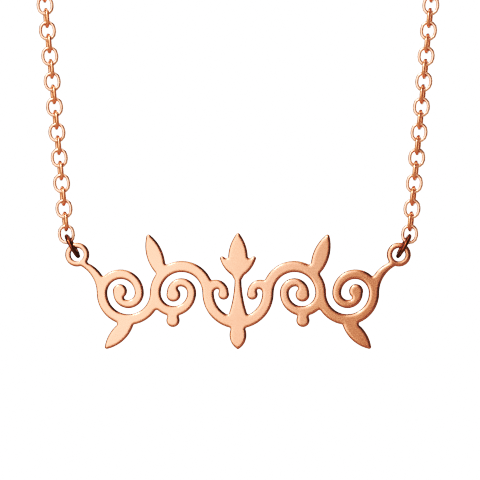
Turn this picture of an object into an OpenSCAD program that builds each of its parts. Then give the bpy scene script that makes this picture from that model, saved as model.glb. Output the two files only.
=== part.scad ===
// Nameplate necklace in the form that it has when worn. Millimetres, Z up, the front faces -Y.
// The origin is the middle of the nape, where the closed clasp lies against the neck.

/* [Nameplate] */
// Thickness of the plate
plate_t = 1.0; // [0.8:0.05:1.3]
// Outer diameter of the cup in the middle
cup_d = 8.6; // [8.2:0.1:9.4]
// Outer diameter of the scroll next to the cup
inner_scroll_d = 7.7; // [7.25:0.05:8.5]
// Outer diameter of the scroll next to the eyelet
outer_scroll_d = 7.7; // [7.25:0.05:8.5]
// Width of the stems where they are widest
stem_w = 1.4; // [1.25:0.05:1.5]
// Open slit between the turns of a scroll
slit_w = 0.72; // [0.55:0.01:0.8]
// Radius of the ball that ends a scroll
scroll_ball_r = 0.85; // [0.7:0.01:0.95]
// Outer diameter of the hook beside the middle stem
hook_d = 3.2; // [3:0.05:3.4]
// Radius of the ball that ends a hook
hook_ball_r = 0.66; // [0.55:0.01:0.72]
// Height of the upper leaf tips above the scrolls' axis
rise = 7.2; // [6.6:0.1:8]
// Depth of the lower leaf tips below the scrolls' axis
fall = 6.8; // [6.4:0.1:7.5]
// Width of an upper leaf
leaf_w = 2.0; // [1.7:0.05:2.3]
// Width of the middle leaf
spear_w = 2.4; // [2:0.05:2.8]
// Radius of the leaves' blunt tips
tip_r = 0.26; // [0.2:0.01:0.3]
// Radius of the fillets in the corners
fillet_r = 0.22; // [0.14:0.01:0.26]

/* [Eyelets] */
// Outer diameter of an eyelet
eyelet_d = 2.9; // [2.7:0.05:3.2]
// Bore of an eyelet
eyelet_bore = 1.6; // [1.5:0.05:1.8]
// Height of the eyelets above the scrolls' axis
eyelet_z = 4.6; // [4.4:0.05:4.9]

/* [Jump rings] */
// Outer diameter of a jump ring
jump_d = 3.3; // [3.1:0.05:3.8]
// Wire of a jump ring
jump_wire = 0.52; // [0.45:0.01:0.58]
// Room between a jump ring's wire and the lower edge of the eyelet's bore
jump_room = 0.34; // [0.2:0.01:0.4]
// Tilt of the jump rings away from upright, in degrees
jump_tilt = 30; // [20:1:36]

/* [Chain] */
// Length of a link
link_l = 2.48; // [2.4:0.02:2.8]
// Width of a link
link_w = 2.08; // [1.96:0.02:2.2]
// Wire of a link
link_wire = 0.42; // [0.36:0.01:0.44]
// Free play between two links
play = 0.1; // [0.1:0.01:0.16]
// Turn of every second link away from square to its neighbours, in degrees
link_turn = 10; // [0:1:14]

/* [Worn form] */
// Straight length of a strand above the nameplate
strand_l = 32; // [30:0.5:38]
// Lean of the strands away from upright, in degrees
strand_lean = 5.3; // [3:0.1:8]
// Width of the loop at the sides of the neck
loop_w = 104; // [98:1:110]
// Depth from the nape to the nameplate
loop_depth = 93; // [88:1:98]
// Height from the scrolls' axis to the nape
loop_h = 85; // [82:1:92]
// Height from the sides of the loop to the nape
side_drop = 12; // [8:1:16]
// Climb of the chain at the sides of the neck, in degrees
side_climb = 21; // [16:1:26]

/* [Clasp] */
// Outer diameter of the clasp
clasp_d = 5.9; // [5.4:0.1:6.6]
// Thickness of the clasp's ring
clasp_wire = 1.1; // [1:0.05:1.3]
// Outer diameter of the eye on the clasp
eye_d = 2.5; // [2.4:0.05:2.8]
// Wire of the eye
eye_wire = 0.55; // [0.5:0.01:0.6]
// Outer diameter of the two rings at the clasp
tie_d = 3.4; // [3.2:0.05:3.9]
// Wire of the two rings at the clasp
tie_wire = 0.55; // [0.5:0.01:0.6]
// Free play between the parts at the clasp
tie_play = 0.18; // [0.14:0.01:0.22]

/* [Hidden] */
$fn = 48;
rose_gold = [0.83, 0.53, 0.39];
dark_rose = [0.62, 0.36, 0.26];

function unit(v) = v / norm(v);

// Outline of the nameplate. Circles are written [x, y, r]: metal fills a circle with a positive r
// and surrounds one with a negative r. The scrolls' axis is y = 0, and the outline is drawn for x > 0.
function centre(c) = [c[0], c[1]];
function across(a, b) = [(a + b) / 2, 0, abs(b - a) / 2];
function hole(c) = [c[0], c[1], -c[2]];

// Centre of the circle of radius r that touches a and b, on the left of the way from a to b when side is 1
function touching(a, b, r, side) =
    let (ra = abs(a[2] + r), rb = abs(b[2] + r), way = centre(b) - centre(a), d = norm(way),
         along = (ra * ra - rb * rb + d * d) / (2 * d), off = sqrt(max(ra * ra - along * along, 0)))
    centre(a) + way / d * along + side * off * [-way[1], way[0]] / d;

// Point of circle c nearest to p, pushed into the metal
fillet_root = 0.8 * fillet_r;
function sunk(c, p) = centre(c) + unit(p - centre(c)) * (abs(c[2]) - sign(c[2]) * fillet_root);

// Each form of the outline is a flat piece of the plate's thickness
module sheet() {
    linear_extrude(plate_t) children();
}

module disc(c) {
    sheet() translate(centre(c)) circle(r = c[2]);
}

// Fillet in the corner where two circles cross. It is hollowed a little past both circles, so that it
// crosses them at a slight angle and leaves no sliver
module web(a, b, side) {
    c = touching(a, b, fillet_r, side);
    corner = touching(a, b, 0, side);
    sheet()
        difference() {
            polygon([corner + unit(corner - c) * fillet_root, sunk(a, c), c, sunk(b, c)]);
            translate(c) circle(r = 1.02 * fillet_r);
        }
}

// Where a scroll's outer and inner edges cross the axis, each half turn from its start to its end
stem_taper = [1, 0.94, 0.78, 0.66];
function scroll_crossings(start, d, widths) =
    let (end = start + d)
    [[start, start + widths[0]],
     [end, end - widths[1]],
     [start + widths[0] + slit_w, start + widths[0] + slit_w + widths[2]],
     [end - widths[1] - slit_w, end - widths[1] - slit_w - widths[3]]];

cup_out = cup_d / 2;
cup_in = cup_out - stem_w;
inner_widths = stem_w * stem_taper;
outer_widths = stem_w * [stem_taper[1], 0.9, stem_taper[2], stem_taper[3]];
inner_scroll = scroll_crossings(cup_in, inner_scroll_d, inner_widths);
outer_scroll = scroll_crossings(inner_scroll[1][1], outer_scroll_d, outer_widths);
hook = [[cup_out, cup_in], [cup_out - hook_d, cup_out - hook_d + 0.62 * stem_w]];

// The circles that the corners lie between
arch = across(inner_scroll[0][0], inner_scroll[1][0]);
swag = across(outer_scroll[0][0], outer_scroll[1][0]);
inner_curl = across(inner_scroll[1][0], inner_scroll[2][0]);
outer_curl = across(outer_scroll[1][0], outer_scroll[2][0]);
hook_edge = across(hook[0][0], hook[1][0]);
cup_floor = hole(across(-cup_in, cup_in));
cup_base = across(-cup_out, cup_out);

// The neck rises from the outer scroll to the eyelet between two circles
neck_r = 0.86 * eyelet_z;
neck_hollow_r = 0.8 * eyelet_z;
neck_edge = [outer_scroll[1][1] + neck_r, 0, neck_r];
neck_hollow = [outer_scroll[1][0] + neck_hollow_r, 0, -neck_hollow_r];
eyelet_x = neck_edge[0] - 0.12 * eyelet_d;
eyelet = [eyelet_x, eyelet_z, eyelet_d / 2];

// Half of a ring that tapers, above the axis for side 1 and below it for side -1
module half_ring(start, end, side) {
    reach = abs(end[0] - start[0]);
    outer = across(start[0], end[0]);
    inner = across(start[1], end[1]);
    sheet()
        intersection() {
            difference() {
                translate(centre(outer)) circle(r = outer[2]);
                translate(centre(inner)) circle(r = inner[2]);
            }
            translate([min(start[0], end[0]), side > 0 ? 0 : -reach]) square(reach);
        }
}

// Half rings that wind inwards, with a ball at the end
module scroll(crossings, side, ball_r) {
    last = len(crossings) - 1;
    for (k = [0 : last - 1])
        half_ring(crossings[k], crossings[k + 1], k % 2 == 0 ? side : -side);
    inwards = sign(crossings[last][1] - crossings[last][0]);
    below = last % 2 == 0 ? side : -side;
    ball = [crossings[last][0] + 0.95 * inwards * ball_r, 0.25 * below * ball_r, ball_r];
    disc(ball);
    web(hole(across(crossings[last - 1][1], crossings[last][1])), ball, inwards * below);
}

// The circle that is the left edge (side 1) or the right edge (side -1) of a leaf from root to tip
function leaf_edge(root, tip, width, side) =
    let (way = tip - root, len = norm(way), r = (len * len + width * width) / (4 * width))
    concat((root + tip) / 2 + side * (width / 2 - r) * [-way[1], way[0]] / len, [r]);

// A leaf is what two circles share, cut off where the round of its tip touches them. The round is a
// little larger than that, so that it crosses both circles at a slight angle
module leaf(root, tip, width) {
    way = tip - root;
    edge_r = leaf_edge(root, tip, width, 1)[2];
    round_at = sqrt(pow(edge_r - tip_r, 2) - pow(edge_r - width / 2, 2));
    cut_at = round_at * edge_r / (edge_r - tip_r);
    translate((root + tip) / 2) rotate(atan2(way[1], way[0])) {
        sheet()
            intersection() {
                intersection_for (side = [-1, 1])
                    translate([0, side * (edge_r - width / 2)]) circle(r = edge_r);
                translate([-edge_r, -width]) square([edge_r + cut_at, 2 * width]);
            }
        disc([round_at, 0, 1.01 * tip_r]);
    }
}

// A leaf that grows out of the circle given as its bed
module rooted_leaf(root, tip, width, bed) {
    leaf(root, tip, width);
    for (side = [-1, 1]) web(bed, leaf_edge(root, tip, width, side), side);
}

// Scrolls, leaves, neck and eyelet on one side of the middle
module plate_side() {
    scroll(hook, 1, hook_ball_r);
    scroll(inner_scroll, 1, scroll_ball_r);
    scroll(outer_scroll, -1, scroll_ball_r);
    web(hook_edge, arch, 1);
    web(swag, inner_curl, 1);
    rooted_leaf([inner_scroll[1][0] - 0.21 * inner_scroll_d, 0.22 * rise],
                [inner_scroll[1][0] + 0.04 * inner_scroll_d, rise], leaf_w, arch);
    rooted_leaf([outer_scroll[1][0] - 0.6 * outer_scroll_d, -0.42 * fall],
                [outer_scroll[1][0] - 0.12 * outer_scroll_d, -fall], 0.95 * leaf_w, swag);
    drop = [inner_curl[0], -inner_curl[2] - 0.6 * scroll_ball_r, 0.95 * scroll_ball_r];
    disc(drop);
    for (side = [-1, 1]) web(inner_curl, drop, side);
    sheet()
        intersection() {
            difference() {
                translate(centre(neck_edge)) circle(r = neck_r);
                translate(centre(neck_hollow)) circle(r = neck_hollow_r);
            }
            translate([neck_edge[0] - neck_r, 0]) square([eyelet_x - neck_edge[0] + neck_r, neck_r]);
        }
    web(outer_curl, neck_edge, 1);
    web(neck_edge, eyelet, 1);
    web(neck_hollow, eyelet, 1);
    disc(eyelet);
}

// The middle stem stands in the cup, flared at its foot, and carries the spear and two small leaves
waist_w = 0.6 * stem_w;
waist_r = 3.2 * cup_out;
waist = [waist_w / 2 + waist_r, 0.25 * rise, -waist_r];
spear_root = [0, 0.14 * rise];
spear_tip = [0, 1.02 * rise];
small_root = [0, 0.24 * rise];
small_tip = [0.95 * spear_w, 0.64 * rise];
small_w = 0.42 * spear_w;
module plate_middle() {
    foot = -cup_out + stem_w / 2;
    half_ring([cup_out, cup_in], [-cup_out, -cup_in], -1);
    for (side = [0, 1])
        mirror([side, 0, 0]) {
            sheet()
                difference() {
                    translate([-waist_w / 2, foot]) square([waist_w / 2 + stem_w, waist[1] - foot]);
                    translate(centre(waist)) circle(r = waist_r);
                }
            web(cup_floor, waist, -1);
            leaf(small_root, small_tip, small_w);
            web(leaf_edge(spear_root, spear_tip, spear_w, -1),
                leaf_edge(small_root, small_tip, small_w, 1), 1);
        }
    leaf(spear_root, spear_tip, spear_w);
    rooted_leaf([0, 0.7 * stem_w - cup_out], [0, -fall], 0.86 * spear_w, cup_base);
}

module nameplate() {
    color(rose_gold)
        translate([0, plate_t / 2 - loop_depth, -loop_h]) rotate([90, 0, 0])
            difference() {
                union() {
                    for (side = [0, 1]) mirror([side, 0, 0]) plate_side();
                    plate_middle();
                }
                for (side = [-1, 1])
                    translate([side * eyelet_x, eyelet_z, -plate_t])
                        cylinder(d = eyelet_bore, h = 3 * plate_t);
            }
}

// A round wire bent to a ring about the Z axis
module ring(outer_d, wire) {
    rotate_extrude() translate([(outer_d - wire) / 2, 0]) circle(d = wire);
}

// The jump ring lies across the plate, and its wire passes the eyelet's bore a little below the middle
jump_bend = (jump_d - jump_wire) / 2;
jump_way = [sin(jump_tilt), 0, cos(jump_tilt)];
jump_low = (eyelet_bore - jump_wire) / 2 - jump_room;
bore_at = [eyelet_x, -loop_depth, eyelet_z - loop_h];
jump_at = bore_at + jump_way * (jump_bend - jump_low);

module jump_ring() {
    color(dark_rose)
        translate(jump_at) rotate([0, 90 + jump_tilt, 0]) ring(jump_d, jump_wire);
}

module jump_ring_left() {
    mirror([1, 0, 0]) jump_ring();
}

module jump_ring_right() {
    jump_ring();
}

// The right half of the loop as a route: straight up from the jump ring, round the side, to the nape.
// A bend runs from its first point to its last, drawn out along the chain's way there by the pulls,
// which are shares of the loop's depth, and of its width at the nape
strand_pull = 0.26;
front_pull = 0.3;
back_pull = 0.27;
nape_pull = 0.28;
link_reach = (link_l - link_wire) / 2;
pitch_max = link_l - 2 * link_wire - play;
strand_way = [sin(strand_lean), 0, cos(strand_lean)];

// The first link stands on the jump ring's wire, high enough to clear that wire with the second link,
// and the eyelet's rim with its own round end
wire_lift = (jump_wire + link_wire) / 2 + 1.6 * play - (pitch_max - link_reach);
rim_reach = (eyelet_d + link_w) / 2 + 1.2 * play;
ring_top = 2 * jump_bend - jump_low;
kink = jump_tilt - strand_lean;
rim_lift = sqrt(pow(rim_reach, 2) - pow(ring_top * sin(kink), 2)) - ring_top * cos(kink)
    + (link_l - link_w) / 2;
first_link = jump_at + jump_way * jump_bend + strand_way * max(wire_lift, rim_lift);
strand_top = first_link + strand_way * strand_l;
loop_side = [loop_w / 2, -loop_depth / 2, -side_drop];
side_way = [0, cos(side_climb), sin(side_climb)];
nape = [0, clasp_wire / 2, 0];
bends = [
    [strand_top, strand_top + strand_pull * loop_depth * strand_way,
     loop_side - front_pull * loop_depth * side_way, loop_side],
    [loop_side, loop_side + back_pull * loop_depth * side_way, nape + [nape_pull * loop_w, 0, 0], nape]
];
steps = 60;
function bend_point(b, t) =
    pow(1 - t, 3) * b[0] + 3 * pow(1 - t, 2) * t * b[1] + 3 * (1 - t) * t * t * b[2] + pow(t, 3) * b[3];
half_route = concat([first_link], [for (b = bends, i = [0 : steps - 1]) bend_point(b, i / steps)], [nape]);
mileage = [for (i = 0, s = 0; i < len(half_route);
                s = s + (i + 1 < len(half_route) ? norm(half_route[i + 1] - half_route[i]) : 0), i = i + 1) s];
half_l = mileage[len(mileage) - 1];
route_axis = [for (axis = [0 : 2]) [for (i = [0 : len(mileage) - 1]) [mileage[i], half_route[i][axis]]]];

// Point of the whole loop at a distance from the right jump ring; past the nape it is the mirror image
function half_point(s) = [for (axis = [0 : 2]) lookup(s, route_axis[axis])];
function loop_point(s) =
    let (p = half_point(min(s, 2 * half_l - s))) s > half_l ? [-p[0], p[1], p[2]] : p;
function loop_way(s) = unit(loop_point(s + link_l / 4) - loop_point(s - link_l / 4));

// Way that a flat-lying link faces: the front on the strands, outwards at the sides, backwards at the nape
function facing(s) =
    let (t = max(0, min(1, (min(s, 2 * half_l - s) - strand_l) / (half_l - strand_l))), turn = 180 * t)
    [(s > half_l ? -1 : 1) * sin(turn), -cos(turn), 0];

// Puts children that stand along Z and face along Y on the loop, turned about its way by an angle
module on_loop(s, turn) {
    way = loop_way(s);
    out = unit(facing(s) - (facing(s) * way) * way);
    side = cross(out, way);
    at = loop_point(s);
    multmatrix([for (axis = [0 : 2]) [side[axis], out[axis], way[axis], at[axis]]])
        rotate([0, 0, turn]) children();
}

// Closing parts in order along the loop: link, clasp ring, clasp with its eye, end ring, link
tie_bend = (tie_d - tie_wire) / 2;
eye_bend = (eye_d - eye_wire) / 2;
clasp_bend = (clasp_d - clasp_wire) / 2;
link_hold = (link_wire + tie_wire) / 2 + tie_play;
eye_hold = (eye_wire + tie_wire) / 2 + tie_play;
clasp_hold = (clasp_wire + tie_wire) / 2 + tie_play;
eye_gap = eye_bend + eye_wire / 2 + clasp_bend + clasp_wire / 2 - 0.6 * eye_wire;
closing_l = 2 * link_reach + 4 * tie_bend - 2 * link_hold - eye_hold - clasp_hold
    + eye_bend + eye_gap + clasp_bend;
last_link_s = half_l - closing_l / 2;
clasp_ring_s = last_link_s + link_reach - link_hold + tie_bend;
eye_s = clasp_ring_s + tie_bend - eye_hold + eye_bend;
clasp_s = eye_s + eye_gap;
end_ring_s = clasp_s + clasp_bend - clasp_hold + tie_bend;

// An odd number of links, as many as the strand needs at their widest spacing or a little less
intervals = 2 * ceil(last_link_s / pitch_max / 2);
pitch = last_link_s / intervals;

// An oval link, its length along Z and its flat side facing Y
module link() {
    bend = (link_w - link_wire) / 2;
    straight = link_l - link_w;
    for (end = [0, 1])
        mirror([0, 0, end])
            translate([0, 0, straight / 2]) rotate([90, 0, 0])
                rotate_extrude(angle = 180) translate([bend, 0]) circle(d = link_wire);
    for (side = [-1, 1])
        translate([side * bend, 0, -straight / 2]) cylinder(d = link_wire, h = straight);
}

module chain() {
    color(rose_gold)
        for (i = [0 : intervals])
            on_loop(i * pitch, i % 2 == 0 ? 0 : 90 - link_turn) link();
}

module chain_left() {
    mirror([1, 0, 0]) chain();
}

module chain_right() {
    chain();
}

// The clasp is closed: a thick ring with a small eye soldered to its rim
module clasp() {
    color(rose_gold)
        on_loop(clasp_s, 0) rotate([90, 0, 0]) {
            ring(clasp_d, clasp_wire);
            translate([0, -eye_gap, 0]) ring(eye_d, eye_wire);
        }
}

module clasp_ring() {
    color(rose_gold) on_loop(clasp_ring_s, 0) rotate([0, 90, 0]) ring(tie_d, tie_wire);
}

module end_ring() {
    color(rose_gold) on_loop(end_ring_s, 0) rotate([0, 90, 0]) ring(tie_d, tie_wire);
}

nameplate();
jump_ring_left();
jump_ring_right();
chain_left();
chain_right();
clasp();
clasp_ring();
end_ring();
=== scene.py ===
import math

import bmesh
import bpy
import numpy as np
from mathutils import Matrix, Vector


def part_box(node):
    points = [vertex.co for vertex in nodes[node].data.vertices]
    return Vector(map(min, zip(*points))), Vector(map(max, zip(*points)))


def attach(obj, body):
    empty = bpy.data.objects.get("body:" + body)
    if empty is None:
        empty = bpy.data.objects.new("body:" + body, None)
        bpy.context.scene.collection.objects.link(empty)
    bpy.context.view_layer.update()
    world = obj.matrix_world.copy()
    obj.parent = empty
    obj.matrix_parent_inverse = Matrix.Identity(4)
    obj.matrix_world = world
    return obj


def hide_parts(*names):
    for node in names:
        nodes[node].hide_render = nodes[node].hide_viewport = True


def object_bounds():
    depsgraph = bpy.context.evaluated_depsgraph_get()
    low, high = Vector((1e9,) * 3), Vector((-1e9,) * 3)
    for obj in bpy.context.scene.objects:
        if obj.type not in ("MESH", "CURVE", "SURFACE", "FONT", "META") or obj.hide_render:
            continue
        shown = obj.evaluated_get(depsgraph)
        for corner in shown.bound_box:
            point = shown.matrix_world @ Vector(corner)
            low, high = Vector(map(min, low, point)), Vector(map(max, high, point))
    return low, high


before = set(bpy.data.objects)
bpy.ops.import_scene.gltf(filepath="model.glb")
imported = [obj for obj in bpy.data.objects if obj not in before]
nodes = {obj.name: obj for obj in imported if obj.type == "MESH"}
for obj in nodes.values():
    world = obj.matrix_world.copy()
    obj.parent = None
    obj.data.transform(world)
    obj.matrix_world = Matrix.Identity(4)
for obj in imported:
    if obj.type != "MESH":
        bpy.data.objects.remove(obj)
cad_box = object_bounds()
scene = bpy.context.scene
mm = 0.001


# Pierced nameplate. The real one is sawn from a flat sheet of sterling silver, its edges are rounded
# by tumbling, and it is then plated with rose gold and polished by hand. The sawn walls are painted
# darker than the polished faces, as painted shade, and are made rougher.
EDGE_ROUND = 0.24 * mm
BORE_ROUND = 0.08 * mm
ROUND_STEPS = 5
POLISH_SLOPE = 0.40 * mm
EYELET_RADIUS = 1.45 * mm
BORE_RADIUS = 0.80 * mm
EYELET_Z = -80.4 * mm
WELD = 0.002 * mm
PLATE_ROSE = (0.900, 0.475, 0.340)
PLATE_DEEP_ROSE = (0.860, 0.420, 0.280)
# Painted shade on the rounded rims of the plate
RIM_ROSE = (0.640, 0.250, 0.120)
# Painted shade on the sawn walls of the plate
SAWN_WALL = (0.200, 0.060, 0.014)
PLATE_ROUGHNESS = 0.19
LACQUER_ROUGHNESS = 0.12

eyelet_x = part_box("nameplate")[1].x - EYELET_RADIUS


def in_bore(edge):
    """True for the edges of the two drilled bores."""
    spot = (edge.verts[0].co + edge.verts[1].co) / 2
    reach = math.hypot(abs(spot.x) - eyelet_x, spot.z - EYELET_Z)
    return reach < (BORE_RADIUS + EYELET_RADIUS) / 2


def round_rims(shape, radius, bored):
    """Rounds the edges between the flat faces and the walls, of the bores alone or of all but them."""
    rims = []
    for edge in shape.edges:
        lean = [abs(face.normal.y) for face in edge.link_faces]
        joins_wall_and_face = min(lean) < 0.01 and max(lean) > 0.99
        if joins_wall_and_face and in_bore(edge) == bored:
            rims.append(edge)
    bmesh.ops.bevel(shape, geom=rims, offset=radius, offset_type="OFFSET", affect="EDGES",
                    segments=ROUND_STEPS, profile=0.5, material=-1, clamp_overlap=False)


def new_piece(name, shape, finish):
    """Puts a finished shape in the scene as a smooth-shaded object at the origin."""
    mesh = bpy.data.meshes.new(name)
    shape.to_mesh(mesh)
    shape.free()
    mesh.polygons.foreach_set("use_smooth", [True] * len(mesh.polygons))
    mesh.materials.append(finish)
    piece = bpy.data.objects.new(name, mesh)
    scene.collection.objects.link(piece)
    return piece


class Signal:
    """A socket in a finish's node tree. Sums and products of signals add Math nodes."""

    def __init__(self, tree, socket=None):
        self.tree = tree
        self.socket = socket

    def node(self, kind, settings, inputs, output=0):
        """Adds a node, applies its settings, and fills its sockets with numbers, colours or signals."""
        made = self.tree.nodes.new(kind)
        for name, setting in settings.items():
            setattr(made, name, setting)
        for name, value in inputs.items():
            socket = made.inputs[name]
            if isinstance(value, Signal):
                self.tree.links.new(value.socket, socket)
            elif isinstance(value, tuple) and socket.type == "RGBA":
                socket.default_value = (*value, 1.0)
            else:
                socket.default_value = value
        return Signal(self.tree, made.outputs[output] if made.outputs else None)

    def math(self, operation, first, second):
        return self.node("ShaderNodeMath", {"operation": operation}, {0: first, 1: second})

    def __add__(self, other):
        return self.math("ADD", self, other)

    __radd__ = __add__

    def __sub__(self, other):
        return self.math("SUBTRACT", self, other)

    def __rsub__(self, other):
        return self.math("SUBTRACT", other, self)

    def __mul__(self, other):
        return self.math("MULTIPLY", self, other)

    __rmul__ = __mul__

    def __abs__(self):
        return self.math("ABSOLUTE", self, 0.0)


def new_finish(name):
    """An empty material and the signal that its nodes start from."""
    finish = bpy.data.materials.new(name)
    finish.use_nodes = True
    finish.node_tree.nodes.clear()
    return finish, Signal(finish.node_tree)


def rise(value, low, high):
    """0 below low, 1 above high and a soft ramp between."""
    return value.node("ShaderNodeMapRange", {"interpolation_type": "SMOOTHSTEP"},
                      {"Value": value, "From Min": low, "From Max": high})


def blend(factor, first, second):
    """A colour that goes from first to second as the factor goes from 0 to 1."""
    return factor.node("ShaderNodeMix", {"data_type": "RGBA"}, {0: factor, 6: first, 7: second}, 2)


def grain(start, size, stretch=(1.0, 1.0, 1.0), detail=2.0):
    """Noise from 0 to 1 with features of about the given size, drawn out along the axes."""
    place = start.node("ShaderNodeTexCoord", {}, {}, "Object")
    scale = tuple(1 / along for along in stretch)
    drawn = start.node("ShaderNodeMapping", {}, {"Vector": place, "Scale": scale})
    return start.node("ShaderNodeTexNoise", {}, {"Vector": drawn, "Scale": 1 / size, "Detail": detail})


def metal(colour, roughness, height, depth, shine=1.0, lie=None):
    """Ends a finish as metal under clear lacquer, with fine relief of the given depth.

    Shine 1 mirrors all its light, and less scatters a part. The lie is the surface's own slope."""
    slope = {"Normal": lie} if lie else {}
    relief = height.node("ShaderNodeBump", {}, {"Height": height, "Distance": depth, **slope})
    surface = height.node("ShaderNodeBsdfPrincipled", {},
                          {"Base Color": colour, "Metallic": shine, "Roughness": roughness,
                           "Normal": relief, "Coat Weight": 1.0, "Coat Roughness": LACQUER_ROUGHNESS})
    height.node("ShaderNodeOutputMaterial", {}, {"Surface": surface})


# The polishing wheel wears the faces down a little towards their edges, and the bevel gives them
# that slope. Facing is 1 on the flat faces and 0 on the sawn walls.
plate_finish, start = new_finish("rose_gold_polish")
worn = start.node("ShaderNodeBevel", {"samples": 8}, {"Radius": POLISH_SLOPE})
facing = abs(start.node("ShaderNodeSeparateXYZ", {}, {0: worn}, "Y"))
# The rounded rims are painted darker, as painted shade.
rim = 1.0 - rise(facing, 0.60, 0.992)
# The sawn walls are painted dark, as painted shade, and are also made rougher below.
wall = 1.0 - rise(facing, 0.25, 0.78)
haze = grain(start, 5.0 * mm)
wiping = grain(start, 0.25 * mm, stretch=(9.0, 1.0, 1.6))
cloth_marks = grain(start, 0.12 * mm, stretch=(1.2, 1.0, 12.0), detail=1.0)
face_colour = blend(haze, PLATE_ROSE, PLATE_DEEP_ROSE)
plate_colour = blend(wall, blend(rim, face_colour, RIM_ROSE), SAWN_WALL)
plate_roughness = PLATE_ROUGHNESS + 0.03 * haze + 0.03 * wiping + 0.12 * wall
plate_relief = haze + 0.003 * wiping + 0.0015 * cloth_marks
metal(plate_colour, plate_roughness, plate_relief, 0.02 * mm, lie=worn)

plate_shape = bmesh.new()
plate_shape.from_mesh(nodes["nameplate"].data)
bmesh.ops.remove_doubles(plate_shape, verts=plate_shape.verts, dist=WELD)
bmesh.ops.dissolve_limit(plate_shape, angle_limit=math.radians(0.5), verts=plate_shape.verts,
                         edges=plate_shape.edges)
round_rims(plate_shape, BORE_ROUND, True)
round_rims(plate_shape, EDGE_ROUND, False)
plate = new_piece("pierced_plate", plate_shape, plate_finish)
plate.modifiers.new("flat_faces", "WEIGHTED_NORMAL").mode = "FACE_AREA"
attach(plate, "root")
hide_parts("nameplate")


# Jump rings. Each is one turn of round wire, closed through an eyelet of the plate and the first
# link of a strand. Their dark brown is painted shade, broken by random lighter rose patches.
# Painted shade: the rings are coloured dark brown
RING_BROWN = (0.300, 0.100, 0.038)
RING_ROSE = (0.560, 0.250, 0.140)
RING_ROUGHNESS = 0.26


def dress(name, finish):
    """Gives a CAD node its finish."""
    mesh = nodes[name].data
    mesh.materials.clear()
    mesh.materials.append(finish)


ring_finish, start = new_finish("rose_gold_dark")
patches = grain(start, 0.5 * mm)
# Dark brown painted shade, with random lighter rose patches
ring_colour = blend(rise(patches, 0.52, 0.72), RING_BROWN, RING_ROSE)
metal(ring_colour, RING_ROUGHNESS + 0.12 * patches, patches, 0.01 * mm)
dress("jump_ring_left", ring_finish)
dress("jump_ring_right", ring_finish)


# Cable chains. Each link is one oval turn of round wire, soldered shut inside the next, with every
# second link turned on its side. The links turned on their side are painted a deeper rose, as painted
# shade. The imported chain gives each link's place, turn and size.
WIRE_SIDES = 6
BEND_STEPS = 6
# Six-sided wire is drawn wider at its corners, to look as full as round wire, and clears the next link
WIRE_FULLNESS = 1.13
WIRE_SHINE = 0.90
WIRE_ROUGHNESS = 0.16
CHAIN_ROSE = (0.970, 0.590, 0.450)
# Deeper rose: painted shade on the sideways links, and a random tone on all links
CHAIN_DEEP_ROSE = (0.800, 0.365, 0.215)
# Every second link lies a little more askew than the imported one, as a hanging chain's links do
ASKEW = math.radians(6)
# How much of a link's tone is painted shade, given to the sideways links alone. The rest is its own,
# in steps that spread small differences evenly over the links.
HEAT_SHARE = 0.8
TONE_STEP = 0.618


def loose_parts(mesh):
    """The corner points of the triangles of each loose part of a CAD node's mesh."""
    points = np.empty(len(mesh.vertices) * 3, np.float32)
    mesh.vertices.foreach_get("co", points)
    points = points.reshape(-1, 3).astype(float)
    corners = np.empty(len(mesh.polygons) * 3, np.int32)
    mesh.polygons.foreach_get("vertices", corners)
    spots = np.round(points / WELD).astype(np.int64)
    welded = np.unique(spots, axis=0, return_inverse=True)[1].ravel()
    triangles = welded[corners].reshape(-1, 3)
    part = np.arange(welded.max() + 1)
    while True:
        lowest = np.repeat(part[triangles].min(axis=1), 3)
        joined = part.copy()
        np.minimum.at(joined, triangles.ravel(), lowest)
        joined = joined[joined]
        if (joined == part).all():
            break
        part = joined
    part_of_triangle = part[triangles[:, 0]]
    corner_points = points[corners].reshape(-1, 3, 3)
    return [corner_points[part_of_triangle == label] for label in np.unique(part_of_triangle)]


def link_place(triangles):
    """A link's middle, its axes (width, thickness and length) and its size along them."""
    first, second, third = triangles.swapaxes(0, 1)
    area = np.linalg.norm(np.cross(second - first, third - first), axis=1)
    middles = triangles.mean(axis=1)
    centre = (middles * area[:, None]).sum(axis=0) / area.sum()
    spread = (middles - centre).T @ ((middles - centre) * area[:, None])
    thickness, width, length = np.linalg.eigh(spread)[1].T
    if np.dot(np.cross(width, thickness), length) < 0:
        thickness = -thickness
    turn = np.array([width, thickness, length]).T
    size = np.ptp((triangles.reshape(-1, 3) - centre) @ turn, axis=0)
    return centre, turn, size


def link_shape(width, wire, length):
    """An oval link of round wire in the XZ plane, its length along Z."""
    shape = bmesh.new()
    bend = (width - wire) / 2
    straight = length - width
    bmesh.ops.create_circle(shape, segments=WIRE_SIDES, radius=wire / 2 * WIRE_FULLNESS,
                            matrix=Matrix.Translation((bend, 0, straight / 2)))
    bmesh.ops.spin(shape, geom=shape.verts[:] + shape.edges[:], cent=(0, 0, straight / 2),
                   axis=(0, -1, 0), angle=math.pi, steps=BEND_STEPS, use_merge=False)
    bmesh.ops.mirror(shape, geom=shape.verts[:] + shape.edges[:] + shape.faces[:], axis="Z")
    ends = [edge for edge in shape.edges if edge.is_boundary]
    for side in (-1, 1):
        bmesh.ops.bridge_loops(shape, edges=[edge for edge in ends if side * edge.verts[0].co.x > 0])
    bmesh.ops.recalc_face_normals(shape, faces=shape.faces)
    return shape


chain_finish, start = new_finish("rose_gold_wire")
tone = start.node("ShaderNodeAttribute", {"attribute_name": "tone"}, {}, "Fac")
drawn_marks = grain(start, 0.4 * mm)
# Painted shade on the sideways links, mixed with a random tone and drawn marks
chain_depth = 0.8 * tone + 0.2 * drawn_marks
chain_colour = blend(chain_depth, CHAIN_ROSE, CHAIN_DEEP_ROSE)
metal(chain_colour, WIRE_ROUGHNESS + 0.10 * drawn_marks, drawn_marks, 0.008 * mm, WIRE_SHINE)

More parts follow.
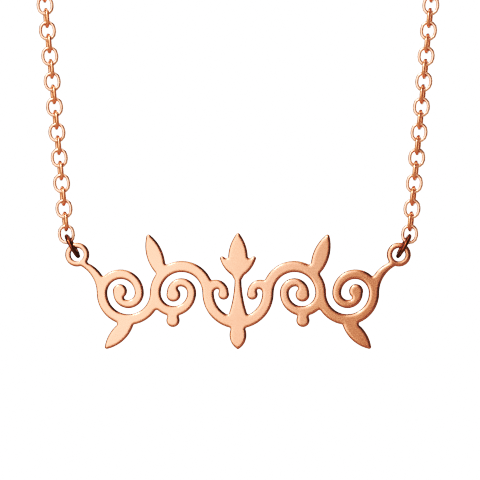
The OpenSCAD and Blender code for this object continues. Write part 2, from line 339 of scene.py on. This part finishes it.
plate_low, plate_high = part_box("nameplate")
plate_middle = (plate_low + plate_high) / 2
for side in ("left", "right"):
    links = [link_place(part) for part in loose_parts(nodes["chain_" + side].data)]
    links.sort(key=lambda link: (Vector(link[0]) - plate_middle).length)
    width, wire, length = np.median([size for centre, turn, size in links], axis=0)
    one_link = bpy.data.meshes.new("link")
    one_shape = link_shape(width, wire, length)
    one_shape.to_mesh(one_link)
    one_shape.free()
    chain_shape = bmesh.new()
    tone_layer = chain_shape.verts.layers.float.new("tone")
    for number, (centre, turn, size) in enumerate(links):
        chain_shape.from_mesh(one_link)
        fresh = chain_shape.verts[-len(one_link.vertices):]
        sideways = number % 2
        askew = 0.0
        if sideways:
            last_thickness = links[number - 1][1][:, 1]
            askew = -ASKEW * np.sign((turn[:, 0] @ last_thickness) * (turn[:, 1] @ last_thickness))
        # Sideways links get painted shade; every link also gets a random tone
        link_tone = HEAT_SHARE * sideways + (1 - HEAT_SHARE) * (number * TONE_STEP % 1)
        put = Matrix.Translation(centre) @ Matrix(turn).to_4x4() @ Matrix.Rotation(askew, 4, "Z")
        bmesh.ops.transform(chain_shape, matrix=put, verts=fresh)
        for vert in fresh:
            vert[tone_layer] = link_tone
    chain = new_piece("cable_chain_" + side, chain_shape, chain_finish)
    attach(chain, "root")
    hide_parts("chain_" + side)


# Clasp with its eye, and the two rings that tie it to the strands. They are cast and drawn rose gold
# pieces of thicker wire, polished by tumbling, and lie closed at the nape.
CLASP_ROSE = (0.900, 0.460, 0.310)
CLASP_DEEP_ROSE = (0.780, 0.360, 0.225)
CLASP_ROUGHNESS = 0.18

clasp_finish, start = new_finish("rose_gold_tumbled")
clasp_haze = grain(start, 1.2 * mm)
clasp_marks = grain(start, 0.2 * mm)
clasp_colour = blend(clasp_haze, CLASP_ROSE, CLASP_DEEP_ROSE)
metal(clasp_colour, CLASP_ROUGHNESS + 0.10 * clasp_marks, clasp_marks, 0.006 * mm)
dress("clasp", clasp_finish)
dress("clasp_ring", clasp_finish)
dress("end_ring", clasp_finish)


# Studio. A pale floor lies well below the hanging necklace, in a white room. Metal sees the room and
# the floor dimmed, as if black cards stood just outside the lights, which gives it its contrast.
FLOOR_DROP = 300 * mm
FLOOR_RADIUS = 1000 * mm
FLOOR_PALE = (0.90, 0.89, 0.88)
FLOOR_IN_METAL = (0.25, 0.24, 0.23)
ROOM_WHITE = (1.0, 1.0, 1.0)
ROOM_IN_METAL = 0.11

floor_finish, start = new_finish("pale_floor")
mirrored = start.node("ShaderNodeLightPath", {}, {}, "Is Glossy Ray")
floor_matte = start.node("ShaderNodeBsdfDiffuse", {}, {"Color": FLOOR_PALE})
floor_dimmed = start.node("ShaderNodeBsdfDiffuse", {}, {"Color": FLOOR_IN_METAL})
floor_seen = start.node("ShaderNodeMixShader", {}, {0: mirrored, 1: floor_matte, 2: floor_dimmed})
start.node("ShaderNodeOutputMaterial", {}, {"Surface": floor_seen})
floor_shape = bmesh.new()
bmesh.ops.create_circle(floor_shape, cap_ends=True, segments=128, radius=FLOOR_RADIUS,
                        matrix=Matrix.Translation((0, 0, -FLOOR_DROP)))
floor = new_piece("floor", floor_shape, floor_finish)

room = bpy.data.worlds.new("white_room")
scene.world = room
room.use_nodes = True
room.node_tree.nodes.clear()
start = Signal(room.node_tree)
mirrored = start.node("ShaderNodeLightPath", {}, {}, "Is Glossy Ray")
room_strength = 1.0 - (1.0 - ROOM_IN_METAL) * mirrored
room_light = start.node("ShaderNodeBackground", {}, {"Color": ROOM_WHITE, "Strength": room_strength})
start.node("ShaderNodeOutputWorld", {}, {"Surface": room_light})


# Lights. The key stands up to the left in front of the plate, so that the plate's right side falls
# off, and the kicker puts bright lines on upper left edges. The others fill in for other views.
def softbox(name, brightness, width, height, azimuth, elevation, distance, target):
    """An area light that faces its target. Azimuth 0 stands in front of the plate, 90 on its right."""
    light = bpy.data.lights.new(name, "AREA")
    light.shape = "RECTANGLE"
    light.size = width
    light.size_y = height
    light.energy = brightness * math.pi * width * height
    level = math.cos(math.radians(elevation))
    out = Vector((math.sin(math.radians(azimuth)) * level, -math.cos(math.radians(azimuth)) * level,
                  math.sin(math.radians(elevation))))
    box = bpy.data.objects.new(name, light)
    facing_target = out.to_track_quat("Z", "Y").to_matrix().to_4x4()
    box.matrix_world = Matrix.Translation(target + distance * out) @ facing_target
    box.visible_camera = False
    scene.collection.objects.link(box)


loop_middle = (cad_box[0] + cad_box[1]) / 2
softbox("key", 1.02, 610 * mm, 640 * mm, -29, 20, 450 * mm, plate_middle)
softbox("kicker", 12.0, 90 * mm, 90 * mm, -35, 45, 400 * mm, plate_middle)
softbox("fill", 0.18, 130 * mm, 300 * mm, 11, 5, 600 * mm, plate_middle)
softbox("low_left", 0.7, 400 * mm, 200 * mm, -45, -28, 500 * mm, plate_middle)
softbox("back_left", 0.55, 700 * mm, 500 * mm, -150, 5, 550 * mm, loop_middle)
softbox("back_right", 0.45, 500 * mm, 500 * mm, 135, 0, 600 * mm, loop_middle)
softbox("side_right", 0.4, 250 * mm, 400 * mm, 80, 10, 600 * mm, loop_middle)
softbox("above", 0.8, 500 * mm, 500 * mm, 0, 85, 500 * mm, loop_middle)


# Camera. The photograph looks straight at the plate, and its 480 pixels span 57.6 mm there. It is
# developed with strong contrast, which the curve repeats.
PIXEL = 0.12 * mm
PHOTO_PIXELS = 480
PLATE_CENTRE_PIXEL = (238, 293)
SCROLL_AXIS_Z = -85 * mm
LENS = 128
CONTRAST = [(0.05, 0.012), (0.10, 0.038), (0.15, 0.09), (0.225, 0.24), (0.30, 0.40), (0.45, 0.65),
            (0.54, 0.76), (0.70, 0.93)]

camera_data = bpy.data.cameras.new("camera")
camera_data.lens = LENS
camera_data.clip_start = 5 * mm
camera = bpy.data.objects.new("camera", camera_data)
camera_distance = PHOTO_PIXELS * PIXEL * LENS / camera_data.sensor_width
camera.location = ((PHOTO_PIXELS / 2 - PLATE_CENTRE_PIXEL[0]) * PIXEL, plate_low.y - camera_distance,
                   SCROLL_AXIS_Z + (PLATE_CENTRE_PIXEL[1] - PHOTO_PIXELS / 2) * PIXEL)
camera.rotation_euler = (math.radians(90), 0, 0)
scene.collection.objects.link(camera)
scene.camera = camera

scene.view_settings.view_transform = "Standard"
scene.view_settings.use_curve_mapping = True
curve = scene.view_settings.curve_mapping.curves[3]
for shade, shown in CONTRAST:
    curve.points.new(shade, shown)
scene.view_settings.curve_mapping.update()
